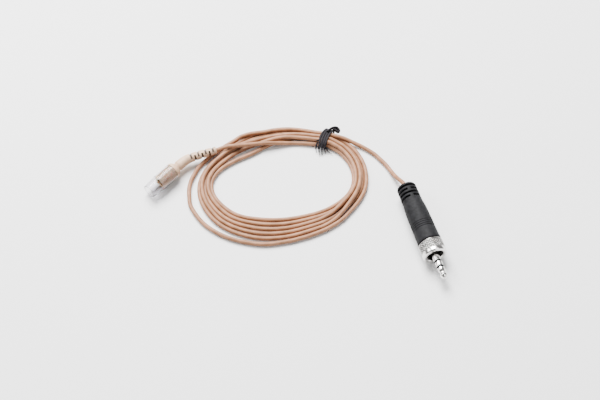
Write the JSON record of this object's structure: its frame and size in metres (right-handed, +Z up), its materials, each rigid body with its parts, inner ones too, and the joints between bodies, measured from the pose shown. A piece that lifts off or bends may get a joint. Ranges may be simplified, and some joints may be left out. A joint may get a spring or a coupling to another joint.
{
  "type": "headset microphone cable",
  "caption": "Detachable cable of a headset microphone: a locking mini-jack plug, a thin cord tied in a coil, and a capped coaxial connector with a notched strain relief.",
  "frame": {"origin": "on the surface the cable lies on, midway between the outer limits of the plug and the connector", "axes": "+X from the connector to the plug, +Y from the jack's tip towards the tied side of the coil, +Z up from the surface"},
  "size_m": [0.1418, 0.0881, 0.0117],
  "materials": {
    "nickel": "bright nickel plate",
    "gold": "gold-plated contact",
    "copper": "bare copper",
    "insulator": "black moulded insulator",
    "black_plastic": "satin black moulding",
    "black_rubber": "matte black flexible moulding",
    "cord_jacket": "satin tan jacket",
    "ribbon": "black woven ribbon",
    "cream_plastic": "cream moulding",
    "cream_rubber": "cream flexible moulding",
    "clear_sleeve": "clear plastic sleeve"
  },
  "bodies": {
    "cable": {"jack_tip": "nickel", "tip_insulator": "insulator", "jack_ring": "nickel", "ring_insulator": "insulator", "jack_sleeve": "nickel", "rear_insulator": "insulator", "tip_terminal": "gold", "ring_terminal": "gold", "ground_terminal": "gold", "plug_ferrule": "copper", "plug_signal_wire": "cord_jacket", "plug_shield_wire": "copper", "plug_shell": "black_plastic", "plug_boot": "black_rubber", "cord_to_plug": "cord_jacket", "cord_coil": "cord_jacket", "cord_to_connector": "cord_jacket", "coil_tie": "ribbon", "connector_housing": "cream_plastic", "strain_relief": "cream_rubber", "contact_insert": "insulator", "centre_contact": "gold", "shield_contact": "gold", "connector_ferrule": "copper", "connector_signal_wire": "copper", "connector_shield_wire": "copper"},
    "snap_ring": {"lock_ring_clip": "nickel"},
    "ring": {"lock_ring": "nickel"},
    "cap": {"clear_cap": "clear_sleeve"}
  },
  "joints": [
    {"name": "lock_ring_slide", "type": "slide", "parent": "cable", "child": "snap_ring", "axis": [0.3047, -0.9524, 0], "range_m": [0, 0.0023]},
    {"name": "lock_ring_spin", "type": "hinge", "parent": "snap_ring", "child": "ring", "pos_m": [0.0657, -0.0251, 0.00585], "axis": [0.3047, -0.9524, 0], "continuous": true},
    {"name": "cap_slide", "type": "slide", "parent": "cable", "child": "cap", "axis": [-0.6691, -0.7431, 0], "range_m": [0, 0.018]}
  ]
}
